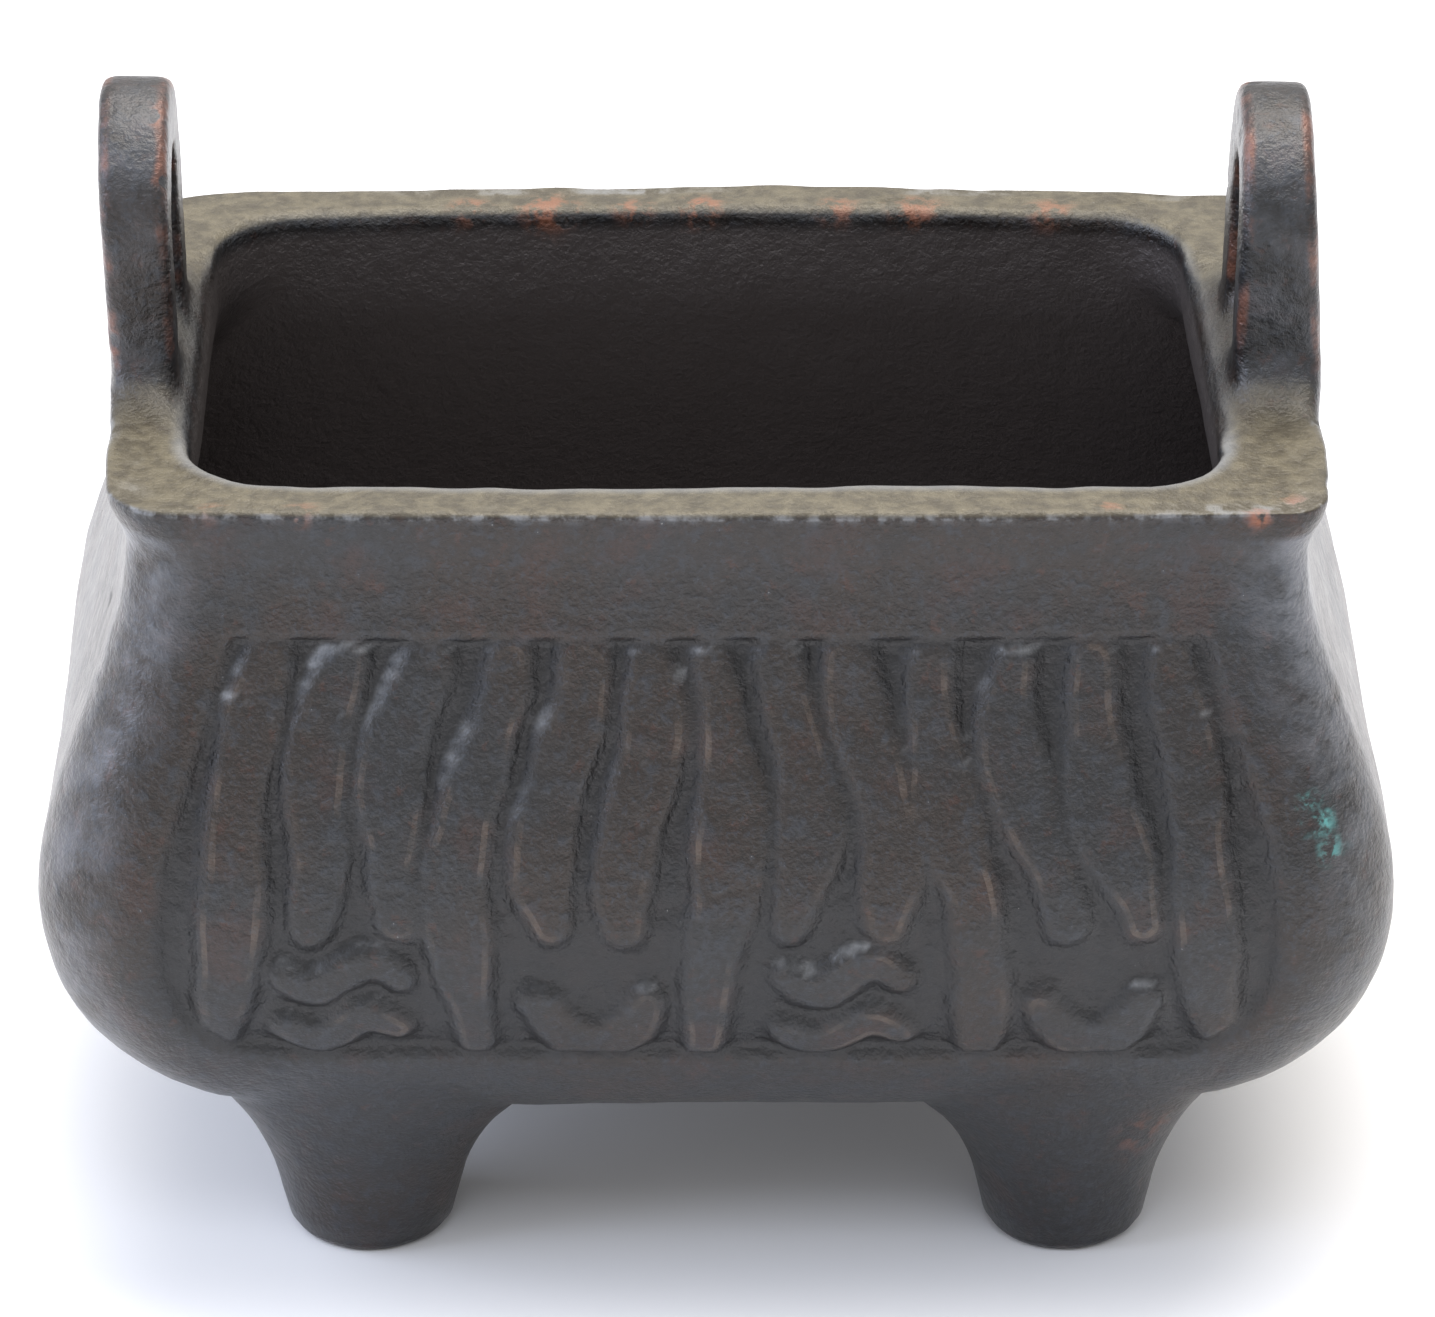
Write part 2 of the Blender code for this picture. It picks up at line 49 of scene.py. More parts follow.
bowl = {
    "rimHeight": 65.0,
    "bellyHeight": 32.0,
    "baseHeight": 12.3,
    "bellyWidth": 100.4,
    "bellyDepth": 67.6,
    "sideSwell": 5.2,  # how far the belly stands out past the rim
    "faceSwell": 5.0,
    "sideUndercut": 18.2,
    "faceUndercut": 14.0,
    "rimSideBow": 1.0,
    "rimFrontBow": 0.5,
    "rimBackBow": 2.2,
    "bellyFrontBow": 0.8,
    "bellyBackBow": 1.5,
    "skew": 1.2,  # the right side closes in towards the back
    "rimCornerLeft": 5.0,
    "rimCornerRight": 3.0,
    "bellyCorner": 9.0,
    "baseCorner": 5.0,
    "mouthCorner": 6.5,
    "cornerKept": 0.4,
    "rimEdge": 0.5,
    "sideCove": 1.3,
    "faceCove": 0.5,
    "coveHeight": 4.2,
    "ledgeLeft": 6.5,
    "ledgeRight": 8.2,
    "ledgeFront": 5.0,
    "ledgeBack": 4.5,
    "mouthBackBow": 1.6,
    "wall": 3.8,
    "floor": 4.0,
    "lipDrop": 4.5,
    "shoulderDrop": 7.0,
    "rimRound": 0.35,
    "mouthRound": 0.9,
    "mouthDrop": 1.2,
    "cornerSteps": 10,
    "frontSteps": 190,
    "backSteps": 118,
    "sideSteps": 46,
}

Section = namedtuple("Section", "left right front back cornerLeft cornerRight sideBow frontBow backBow")


def smooth(share):
    share = np.clip(share, 0.0, 1.0)
    return share * share * (3 - 2 * share)


# From 0 at the start to 1 at the end, softly
def fade(value, start, end):
    return smooth((value - start) / (end - start))


def blendSections(start, end, share):
    return Section(*(a + (b - a) * share for a, b in zip(start, end)))


def insetSection(section, amount):
    reach = [side - amount for side in section[:4]]
    corners = [max(radius - amount, bowl["cornerKept"] * radius) for radius in section[4:6]]
    return Section(*reach, *corners, *section[6:])


belly = Section(
    bowl["bellyWidth"] / 2, bowl["bellyWidth"] / 2, bowl["bellyDepth"] / 2, bowl["bellyDepth"] / 2,
    bowl["bellyCorner"], bowl["bellyCorner"], 0.0, bowl["bellyFrontBow"], bowl["bellyBackBow"])
rim = Section(
    belly.left - bowl["sideSwell"], belly.right - bowl["sideSwell"],
    belly.front - bowl["faceSwell"], belly.back - bowl["faceSwell"],
    bowl["rimCornerLeft"], bowl["rimCornerRight"],
    bowl["rimSideBow"], bowl["rimFrontBow"], bowl["rimBackBow"])
neck = rim._replace(
    left=rim.left - bowl["sideCove"], right=rim.right - bowl["sideCove"],
    front=rim.front - bowl["faceCove"], back=rim.back - bowl["faceCove"])
base = Section(
    belly.left - bowl["sideUndercut"], belly.right - bowl["sideUndercut"],
    belly.front - bowl["faceUndercut"], belly.back - bowl["faceUndercut"],
    bowl["baseCorner"], bowl["baseCorner"], 0.0, bowl["bellyFrontBow"], bowl["bellyBackBow"])
mouth = Section(
    rim.left - bowl["ledgeLeft"], rim.right - bowl["ledgeRight"],
    rim.front - bowl["ledgeFront"], rim.back - bowl["ledgeBack"],
    bowl["mouthCorner"], bowl["mouthCorner"], 0.0, bowl["rimFrontBow"], bowl["mouthBackBow"])
neckHeight = bowl["rimHeight"] - bowl["rimEdge"] - bowl["coveHeight"]


# One ring of points round a section, anticlockwise from where the right side meets the back corner
def ringOf(section, height):
    centreX = (section.right - section.left) / 2
    centreY = (section.back - section.front) / 2
    halfX = (section.right + section.left) / 2
    halfY = (section.back + section.front) / 2
    quarters = ((1, 1, section.cornerRight), (-1, 1, section.cornerLeft),
                (-1, -1, section.cornerLeft), (1, -1, section.cornerRight))
    sides = (bowl["backSteps"], bowl["sideSteps"], bowl["frontSteps"], bowl["sideSteps"])
    arcs = []
    for index, (signX, signY, radius) in enumerate(quarters):
        angles = pi / 2 * (index + np.linspace(0, 1, bowl["cornerSteps"] + 1))
        arcs.append(np.stack([signX * (halfX - radius) + radius * np.cos(angles),
                              signY * (halfY - radius) + radius * np.sin(angles)], axis=1))
    ring = []
    for index, arc in enumerate(arcs):
        following = arcs[(index + 1) % 4][0]
        shares = np.arange(1, sides[index])[:, None] / sides[index]
        ring += [arc, arc[-1] + (following - arc[-1]) * shares]
    x, y = np.concatenate(ring).T
    faceBow = np.where(y > 0, section.backBow, section.frontBow)
    bowedX = x * (1 - section.sideBow / halfX * (y / halfY) ** 2)
    bowedY = y * (1 - faceBow / halfY * (x / halfX) ** 2)
    skew = bowl["skew"] * np.maximum(x / halfX, 0.0) * (0.5 + 0.5 * y / halfY)
    return np.stack([centreX + bowedX - skew, centreY + bowedY, np.full(len(x), height)], axis=1)


# The outside of the bowl from the belly up to the neck
def outerSection(height):
    return blendSections(neck, belly, fade(height, neckHeight, bowl["bellyHeight"]))


# The outside of the bowl at many heights, below the belly too
def outerSections(heights):
    drop = np.clip((bowl["bellyHeight"] - heights) / (bowl["bellyHeight"] - bowl["baseHeight"]), 0, 1)
    return blendSections(base, outerSection(heights), np.sqrt(1 - drop * drop))


# How far inside a section's two pairs of sides places lie, and inside its rounded outline
def insideSection(section, x, y):
    halfX = (section.right + section.left) / 2
    halfY = (section.back + section.front) / 2
    shareX = (x - (section.right - section.left) / 2) / halfX
    shareY = (y - (section.back - section.front) / 2) / halfY
    shareX = shareX + bowl["skew"] / halfX * np.maximum(shareX, 0) * (0.5 + 0.5 * shareY)
    radius = np.where(shareX > 0, section.cornerRight, section.cornerLeft)
    faceBow = np.where(shareY > 0, section.backBow, section.frontBow)
    inX = halfX * (1 - np.abs(shareX)) - section.sideBow * shareY ** 2
    inY = halfY * (1 - np.abs(shareY)) - faceBow * shareX ** 2
    pastX = radius - inX
    pastY = radius - inY
    rounded = np.hypot(np.maximum(pastX, 0), np.maximum(pastY, 0))
    outline = radius - rounded - np.minimum(np.maximum(pastX, pastY), 0)
    return inX, inY, outline


def undercutRing(angle, depth, foot):
    height = bowl["bellyHeight"] - (bowl["bellyHeight"] - foot) * sin(angle)
    return ringOf(blendSections(insetSection(base, depth), insetSection(belly, depth), cos(angle)), height)


def scaledRing(ring, share):
    middle = ring.mean(axis=0)
    return middle + (ring - middle) * share


# Rows of strokes in low relief, on a sunk panel at the front and a plainer one at the back
panel = {
    "depth": 0.9,
    "band": 9.7,
    "sole": 8.7,
    "margin": 8.0,
    "footCorner": 10.0,
    "topCorner": 1.5,
    "gap": 0.9,
    "pitch": 6.1,
    "group": 3,
    "strokeWidth": 4.0,
    "sway": 1.0,
    "waves": 0.8,
    "turn": 0.125,
    "tip": 0.6,
    "swell": 0.15,
    "beats": 1.3,
    "crescentWidth": 3.4,
    "crescentSag": 3.8,
    "rippleWidth": 2.5,
    "rippleHeight": 1.1,
    "rippleSpacing": 5.0,
    "lowerReach": 0.8,
    "lowerHeight": 11.5,
    "backPitch": 10.0,
    "steps": 20,
    "shoulder": 0.25,  # a stroke begins to fall this far inside its edge
    "slope": 1.6,  # the width over which it falls to the ground
    "edgeSlope": 1.0,
    "sideSoftness": 0.5,  # the panel's upright edges rise more gently than the others
    "wander": 0.5,  # unevenness of the hand-cut edges
    "wanders": ((0.22, 1.0), (0.8, 0.15)),  # how many to a millimetre, share of the wander
    "wanderSeed": 5,
    "lowerGroove": 1.3,  # clear ground along the panel's edges
    "upperGroove": 0.7,
    "nearby": 2.0,  # how far outside the panel its edge still counts
    "strokeNearby": 6.0,
    "farOutside": -9.0,
}
panelTop = bowl["rimHeight"] - panel["band"]
panelFoot = bowl["baseHeight"] + panel["sole"]
noise.seed_set(panel["wanderSeed"])  # otherwise noise vectors go by the clock


def panelReach(z):
    swell = fade(np.maximum(z, bowl["bellyHeight"]), neckHeight, bowl["bellyHeight"])
    return neck.right + (belly.right - neck.right) * swell - panel["margin"]


def cornerCut(distance, radius):
    near = radius - np.clip(distance, 0.0, radius)
    return radius - np.sqrt(radius * radius - near * near)


# How far inside the panel's edge a place lies
def insidePanel(x, z):
    pull = cornerCut(z - panelFoot, panel["footCorner"]) + cornerCut(panelTop - z, panel["topCorner"])
    sideways = panelReach(z) - pull - np.abs(x)
    lower = z - panelFoot - cornerCut(panelReach(panelFoot) - np.abs(x), panel["footCorner"])
    return np.minimum(np.minimum(sideways * panel["sideSoftness"], panelTop - z), lower)


def strokeLine(x, z, width, along):
    half = width / 2 * (1 - (1 - panel["tip"]) * along * along)
    return np.stack([x, z, half], axis=1)


def tallStroke(place, foot, top, turn):
    tip = panel["tip"] * panel["strokeWidth"] / 2
    share = np.linspace(0, 1, panel["steps"] + 1)
    z = foot + tip + (top - foot - 2 * tip) * share
    sway = panel["sway"] * np.sin(2 * pi * (panel["waves"] * share + turn))
    x = place * (panelReach(z) - panel["topCorner"]) + sway
    line = strokeLine(x, z, panel["strokeWidth"], 2 * share - 1)
    line[:, 2] *= 1 + panel["swell"] * np.sin(2 * pi * (panel["beats"] * share + 2 * turn))
    return line


def lyingStroke(middleX, middleZ, reach, width, rise):
    along = np.linspace(-1, 1, panel["steps"] + 1)
    x = middleX + (reach - panel["tip"] * width / 2) * along
    return strokeLine(x, middleZ + rise(along), width, along)


def strokePlaces(count):
    reach = panelReach(bowl["bellyHeight"]) - panel["topCorner"]
    across = np.linspace(panel["strokeWidth"] - reach, reach - panel["strokeWidth"], count)
    return across, across / reach


# Every third stroke runs down to the foot; the others leave room for crescents and ripples below them
def frontStrokes():
    reach = panelReach(bowl["bellyHeight"]) - panel["topCorner"]
    groups = int((2 * reach / panel["pitch"] - 1) // panel["group"])
    across, places = strokePlaces(panel["group"] * groups + 1)
    spacing = across[1] - across[0]
    top = panelTop - panel["gap"]
    strokes = []
    for index, (x, place) in enumerate(zip(across, places)):
        foot = panelFoot + panel["lowerHeight"]
        if index % panel["group"] == 0:
            foot = panelFoot + cornerCut(panelReach(panelFoot) - abs(x), panel["footCorner"]) + panel["gap"]
        strokes.append(tallStroke(place, foot, top, panel["turn"] * index))
    middle = panelFoot + panel["lowerHeight"] / 2
    for group in range(groups):
        x = across[0] + spacing * panel["group"] * (group + 0.5)
        reach = panel["lowerReach"] * spacing
        if group % 2:
            sag = panel["crescentSag"]
            strokes.append(lyingStroke(
                x, middle, reach, panel["crescentWidth"], lambda along: sag * (along ** 2 - 1)))
        else:
            for shift in (-0.5, 0.5):
                z = middle + shift * panel["rippleSpacing"]
                height = panel["rippleHeight"]
                strokes.append(lyingStroke(
                    x, z, reach, panel["rippleWidth"], lambda along: height * np.sin(pi * along)))
    return strokes


def backStrokes():
    reach = panelReach(bowl["bellyHeight"]) - panel["topCorner"]
    across, places = strokePlaces(int(2 * reach // panel["backPitch"]))
    strokes = []
    for x, place in zip(across, places):
        foot = panelFoot + cornerCut(panelReach(panelFoot) - abs(x), panel["footCorner"]) + panel["gap"]
        strokes.append(tallStroke(place, foot, panelTop - panel["gap"], 0.0))
    return strokes


# How far inside the nearest stroke's edge a place lies
def insideStrokes(x, z, strokes):
    best = np.full(len(x), panel["farOutside"])
    for line in strokes:
        reach = panel["strokeNearby"]
        near = (x > line[:, 0].min() - reach) & (x < line[:, 0].max() + reach)
        px, pz = x[near], z[near]
        found = np.full(len(px), panel["farOutside"])
        for (ax, az, ah), (bx, bz, bh) in zip(line, line[1:]):
            dx, dz = bx - ax, bz - az
            share = np.clip(((px - ax) * dx + (pz - az) * dz) / (dx * dx + dz * dz), 0, 1)
            gap = np.hypot(px - ax - dx * share, pz - az - dz * share)
            found = np.maximum(found, ah + (bh - ah) * share - gap)
        best[near] = np.maximum(best[near], found)
    return best


# Distances in from the panel's edge and from the strokes' edges, for points on the outside of the bowl
def carving(points):
    inPanel = insidePanel(points[:, 0], points[:, 2])
    inStroke = np.full(len(points), panel["farOutside"])
    for side, strokes in ((-1, frontStrokes()), (1, backStrokes())):
        chosen = np.nonzero((points[:, 1] * side > 0) & (inPanel > -panel["nearby"]))[0]
        worked = points[chosen]
        wander = np.zeros((len(worked), 3))
        for often, share in panel["wanders"]:
            wander += share * np.array([noise.noise_vector(Vector(point) * often) for point in worked])
        shifted = worked + panel["wander"] * wander
        found = insideStrokes(shifted[:, 0], shifted[:, 2], strokes)
        groove = np.where(worked[:, 2] < bowl["bellyHeight"], panel["lowerGroove"], panel["upperGroove"])
        inStroke[chosen] = np.minimum(found, inPanel[chosen] - groove)
    return inPanel, inStroke


def carvedShare(inPanel, inStroke):
    return smooth(inPanel / panel["edgeSlope"]) * smooth((panel["shoulder"] - inStroke) / panel["slope"])


# Where the bowl's rows of points lie: shares of a stretch, angles round a bend, or a number of rows
rowsAt = {
    "underBase": (0.03, 0.15, 0.3, 0.45, 0.6, 0.72, 0.83, 0.92),
    "undercut": np.concatenate([np.linspace(90, 40, 17), np.linspace(38.5, 0, 30)]),
    "panel": 58,
    "abovePanel": 7,
    "panelMargin": 0.8,
    "cove": (0.86, 0.7, 0.54, 0.38, 0.22, 0.1, 0.0),
    "rimEdge": (0, 30, 60, 90),
    "ledge": (0.12, 0.25, 0.4, 0.55, 0.7, 0.85),
    "mouthEdge": (0, 20, 40, 60, 80),
    "lip": 4,
    "shoulder": (0.15, 0.3, 0.45, 0.6, 0.75, 0.9),
    "wall": 9,
    "insideUndercut": np.linspace(0, 90, 11)[1:],
    "insideFloor": (0.85, 0.65, 0.4, 0.15),
}


# Rows from under the base, up the outside, over the rim and down to the floor inside.
# The second set lies as deep as the panels are sunk.
def bowlRows():
    rows, inner = [], []

    def add(ring, carved=None):
        rows.append(ring)
        inner.append(ring if carved is None else carved)

    depth = panel["depth"]
    bottom = undercutRing(pi / 2, 0.0, bowl["baseHeight"])
    for share in rowsAt["underBase"]:
        add(scaledRing(bottom, share) * (1, 1, 0) + (0, 0, bowl["baseHeight"]))
    for angle in rowsAt["undercut"]:
        add(undercutRing(radians(angle), 0.0, bowl["baseHeight"]),
            undercutRing(radians(angle), depth, bowl["baseHeight"] + depth))
    carvedTop = panelTop + rowsAt["panelMargin"]
    heights = np.concatenate([np.linspace(bowl["bellyHeight"], carvedTop, rowsAt["panel"])[1:],
                              np.linspace(carvedTop, neckHeight, rowsAt["abovePanel"])[1:]])
    for height in heights:
        add(ringOf(outerSection(height), height), ringOf(insetSection(outerSection(height), depth), height))
    coveTop = bowl["rimHeight"] - bowl["rimEdge"]
    for share in rowsAt["cove"]:
        add(ringOf(blendSections(rim, neck, smooth(share)), coveTop - share * bowl["coveHeight"]))
    for turn in np.radians(rowsAt["rimEdge"]):
        add(ringOf(insetSection(rim, bowl["rimRound"] * (1 - cos(turn))),
                   bowl["rimHeight"] - bowl["rimRound"] * (1 - sin(turn))))
    ledgeOut = insetSection(rim, bowl["rimRound"])
    ledgeIn = insetSection(mouth, -bowl["mouthRound"])
    for share in rowsAt["ledge"]:
        add(ringOf(blendSections(ledgeOut, ledgeIn, share), bowl["rimHeight"]))
    for turn in np.radians(rowsAt["mouthEdge"]):
        add(ringOf(insetSection(mouth, -bowl["mouthRound"] * (1 - sin(turn))),
                   bowl["rimHeight"] - bowl["mouthDrop"] * (1 - cos(turn))))
    lipFoot = bowl["rimHeight"] - bowl["lipDrop"]
    for height in np.linspace(bowl["rimHeight"] - bowl["mouthDrop"], lipFoot, rowsAt["lip"]):
        add(ringOf(mouth, height))
    for share in rowsAt["shoulder"]:
        height = lipFoot - bowl["shoulderDrop"] * share
        wide = insetSection(outerSection(height), bowl["wall"])
        add(ringOf(blendSections(mouth, wide, smooth(share)), height))
    for height in np.linspace(lipFoot - bowl["shoulderDrop"], bowl["bellyHeight"], rowsAt["wall"]):
        add(ringOf(insetSection(outerSection(height), bowl["wall"]), height))
    insideFloor = bowl["baseHeight"] + bowl["floor"]
    for angle in rowsAt["insideUndercut"]:
        add(undercutRing(radians(angle), bowl["wall"], insideFloor))
    bottom = rows[-1]
    for share in rowsAt["insideFloor"]:
        add(scaledRing(bottom, share) * (1, 1, 0) + (0, 0, insideFloor))
    return np.array(rows), np.array(inner)


# A skin over rows of points, each row a closed ring, with its two ends filled
def skinOver(rows):
    count, columns = rows.shape[:2]
    mesh = bmesh.new()
    bmesh.ops.create_grid(mesh, x_segments=columns, y_segments=count - 1, size=1)
    for vert in mesh.verts:
        column = round((vert.co.x + 1) / 2 * columns) % columns
        row = round((vert.co.y + 1) / 2 * (count - 1))
        vert.co = rows[row, column]
    bmesh.ops.remove_doubles(mesh, verts=mesh.verts, dist=sameSpot)
    bmesh.ops.holes_fill(mesh, edges=[edge for edge in mesh.edges if edge.is_boundary], sides=0)
    bmesh.ops.recalc_face_normals(mesh, faces=mesh.faces)
    return mesh


def makeBowl():
    rows, inner = bowlRows()
    share = carvedShare(*carving(rows.reshape(-1, 3))).reshape(*rows.shape[:2], 1)
    return skinOver(rows + (inner - rows) * share)


foot = {
    "sideInset": 23.8,
    "faceInset": 15.8,
    "toeRadius": 5.0,
    "toeRound": 1.0,
    "ankleRadius": 8.8,
    "flare": 5.0,
    "flareStart": 0.35,
    "flareFade": 3,
    "root": 1.0,  # how far it reaches into the bowl
    "rootNarrowing": 0.5,
    "sides": 64,
    "toeTurns": (0, 22, 45, 68, 90),
    "stations": (0.09, 0.18, 0.27, 0.36, 0.45, 0.53, 0.61, 0.68, 0.75, 0.81, 0.86, 0.9, 0.94, 0.97, 0.985),
}


def footRadius(share):
    toe = foot["toeRadius"] + foot["toeRound"]
    return toe + (foot["ankleRadius"] - toe) * share


def footFlare(share):
    rise = max(0.0, (share - foot["flareStart"]) / (1 - foot["flareStart"]))
    return foot["flare"] * (1 - sqrt(max(0.0, 1 - rise * rise)))


# A foot from its toe up to the underside of the bowl, which it is rooted in
def makeFoot(mesh, centreX, centreY, underside):
    upward = Vector((0, 0, 1))
    stations = []
    for turn in np.radians(foot["toeTurns"]):
        share = foot["toeRound"] * (1 - cos(turn)) / bowl["baseHeight"]
        stations.append((share, foot["toeRadius"] + foot["toeRound"] * sin(turn), 0.0))
    stations += [(share, footRadius(share), footFlare(share)) for share in foot["stations"]]
    last = foot["stations"][-1]
    stations.append((1.0, footRadius(last), footFlare(last)))
    stations.append((1.0, footRadius(last) * foot["rootNarrowing"], 0.0))
    rows = np.empty((len(stations), foot["sides"], 3))
    for row, (share, radius, flare) in enumerate(stations):
        for side in range(foot["sides"]):
            turn = 2 * pi * side / foot["sides"]
            outward = Vector((cos(turn), sin(turn), 0))
            place = Vector((centreX, centreY, -bowl["baseHeight"])) + outward * radius
            level = bowl["baseHeight"] / underside.ray_cast(place, upward)[0].z
            place += outward * flare * level ** foot["flareFade"]
            roof = underside.ray_cast(place, upward)[0].z
            place.z = share * roof if share < 1 else roof + foot["root"]
            rows[row, side] = place
    takeIn(mesh, skinOver(rows))


# Moves a part into the mesh that it belongs to
def takeIn(mesh, part):
    data = bpy.data.meshes.new("part")
    part.to_mesh(data)
    part.free()
    mesh.from_mesh(data)
    bpy.data.meshes.remove(data)


handle = {
    "width": 18.0,
    "flare": 5.0,
    "flareHeight": 4.2,
    "root": 1.5,  # how far it reaches into the rim
    "leg": 5.5,
    "holeSill": 1.6,
    "holeCorner": 2.0,
    "edgeRound": 0.9,
    "left": {"height": 21.0, "base": 4.9, "top": 5.5, "setback": 0.2, "lean": -0.9},
    "right": {"height": 20.4, "base": 6.7, "top": 5.1, "setback": 0.3, "lean": 1.0},
    "flareSteps": 8,
    "archSteps": 14,
    "sillSteps": 5,
    "holeSteps": 8,
    "roundSteps": 3,
    "grain": 0.42,  # size of the even mesh that its surface is worked in
    "relax": 0.5,
    "relaxPasses": 4,
}


def quarterTurn(steps):
    return [pi / 2 * step / steps for step in range(steps + 1)]


def mirrored(right):
    return right + [(-y, z) for y, z in reversed(right[:-1])]


def archOutline(height):
    half = handle["width"] / 2
    right = [(half + handle["flare"], -handle["root"])]
    right += [(half + handle["flare"] * (1 - sin(a)), handle["flareHeight"] * (1 - cos(a)))
              for a in quarterTurn(handle["flareSteps"])]
    right += [(half * cos(a), height - half + half * sin(a)) for a in quarterTurn(handle["archSteps"])]
    return mirrored(right)


def holeOutline(height):
    half = handle["width"] / 2 - handle["leg"]
    corner = handle["holeCorner"]
    sill = handle["holeSill"]
    right = [(half - corner * (1 - sin(a)), sill + corner * (1 - cos(a)))
             for a in quarterTurn(handle["sillSteps"])]
    right += [(half * cos(a), height - handle["leg"] - half + half * sin(a))
              for a in quarterTurn(handle["holeSteps"])]
    return mirrored(right)


def makeHandle(mesh, which, side):
    sizes = handle[which]
    curve = bpy.data.curves.new(f"{which}Handle", "CURVE")
    curve.dimensions = "2D"
    curve.fill_mode = "BOTH"
    curve.extrude = sizes["base"] / 2 - handle["edgeRound"]
    curve.bevel_depth = handle["edgeRound"]
    curve.bevel_resolution = handle["roundSteps"]
    curve.offset = -handle["edgeRound"]
    for outline in (archOutline(sizes["height"]), holeOutline(sizes["height"])):
        spline = curve.splines.new("POLY")
        spline.points.add(len(outline) - 1)
        for point, (y, z) in zip(spline.points, outline):
            point.co = (y, z, 0.0, 1.0)
        spline.use_cyclic_u = True
    guide = bpy.data.objects.new("guide", curve)
    flat = meshOf(guide)
    whole = bmesh.new()
    whole.from_mesh(flat)
    bmesh.ops.remove_doubles(whole, verts=whole.verts, dist=touching)
    bpy.data.curves.remove(curve)
    bpy.data.meshes.remove(flat)

    # An even mesh, so that the cast surface can be worked into the flat faces too
    even = newObject("guide", whole)
    remesh = even.modifiers.new("even", "REMESH")
    remesh.mode = "VOXEL"
    remesh.voxel_size = handle["grain"]
    relax = even.modifiers.new("relax", "SMOOTH")
    relax.factor = handle["relax"]
    relax.iterations = handle["relaxPasses"]
    data = meshOf(even)
    worked = bmesh.new()
    worked.from_mesh(data)
    bpy.data.meshes.remove(data)
    for vert in worked.verts:
        y, z, across = vert.co
        rise = max(z, 0.0) / sizes["height"]
        thickness = sizes["base"] + (sizes["top"] - sizes["base"]) * rise
        inward = (0.5 - across / sizes["base"]) * thickness
        x = rim.right - sizes["setback"] - inward - sizes["lean"] * rise
        vert.co = (side * x, y, bowl["rimHeight"] + z)
    bmesh.ops.recalc_face_normals(worked, faces=worked.faces)
    takeIn(mesh, worked)


def newObject(name, mesh):
    data = bpy.data.meshes.new(name)
    mesh.to_mesh(data)
    mesh.free()
    thing = bpy.data.objects.new(name, data)
    bpy.context.scene.collection.objects.link(thing)
    return thing


# The mesh of an object with its modifiers applied; the object goes
def meshOf(thing):
    if thing.name not in bpy.context.scene.collection.objects:
        bpy.context.scene.collection.objects.link(thing)
    evaluated = thing.evaluated_get(bpy.context.evaluated_depsgraph_get())
    data = bpy.data.meshes.new_from_object(evaluated)
    old = thing.data if thing.type == "MESH" else None
    bpy.data.objects.remove(thing)
    if old:
        bpy.data.meshes.remove(old)
    return data


# A union gives its points in another order each run, and the work that follows goes by their order,
# so they are sorted by place, then welded and kept as a mesh once more
def inOrder(data):
    mesh = bmesh.new()
    mesh.from_mesh(data)
    places = np.array([vert.co for vert in mesh.verts])
    rank = np.lexsort(places.T).argsort()
    mesh.verts.sort(key=lambda vert: rank[vert.index])
    kept, welded = {}, {}
    for vert in mesh.verts:
        keeper = kept.setdefault(tuple(round(c, casting["weldDecimals"]) for c in vert.co), vert)
        if keeper != vert:
            welded[vert] = keeper
    bmesh.ops.weld_verts(mesh, targetmap=welded)
    mesh.verts.index_update()
    count = len(mesh.verts)

    # An edge or a face goes by its lowest corners
    def byCorners(part):
        key = 0
        for index in sorted(vert.index for vert in part.verts)[:3]:
            key = key * count + index
        return key

    mesh.edges.sort(key=byCorners)
    mesh.faces.sort(key=byCorners)
    mesh.to_mesh(data)
    mesh.clear()
    mesh.from_mesh(data)
    return mesh


casting = {
    "weldDecimals": 2,  # joined points that are the same to a hundredth are one point
    "seams": (
        # lowest, highest, and how far each smoothing reaches, with its passes
        (0.0, 40.0, ((2.2, 3), (1.7, 3), (1.2, 3), (0.8, 3))),
        (60.0, 90.0, ((3.4, 14), (2.6, 12), (1.8, 10))),
    ),
    "smoothing": 0.5,
    "waves": ((0.045, 0.30), (0.13, 0.10), (0.42, 0.05)),  # how many to a millimetre, how high
    "stipple": (1.15, 0.11),
    "rimWaves": (0.24, 0.16),
    "rimWavesFoot": (-1.4, -0.6),  # above the rim, where they start and where they are full
    "rimWavesTop": 0.6,
    "pitSeed": 11,
    "pitCount": 90,
    "pitRadius": 0.8,
    "pitDepth": 0.22,
}


# Softens the line along which the feet and handles meet the bowl
def softenSeams(mesh, bowlTree, addedTree):
    seam = []
    for vert in mesh.verts:
        onAdded = addedTree.find_nearest(vert.co, touching)[0]
        if onAdded and bowlTree.find_nearest(vert.co, touching)[0]:
            seam.append(vert.co.copy())
    tree = kdtree.KDTree(len(seam))
    for index, place in enumerate(seam):
        tree.insert(place, index)
    tree.balance()
    distances = [(tree.find(vert.co)[2], vert) for vert in mesh.verts]
    for low, high, smoothings in casting["seams"]:
        for reach, passes in smoothings:
            near = [vert for distance, vert in distances if distance < reach and low < vert.co.z < high]
            for _ in range(passes):
                bmesh.ops.smooth_vert(
                    mesh, verts=near, factor=casting["smoothing"],
                    use_axis_x=True, use_axis_y=True, use_axis_z=True)


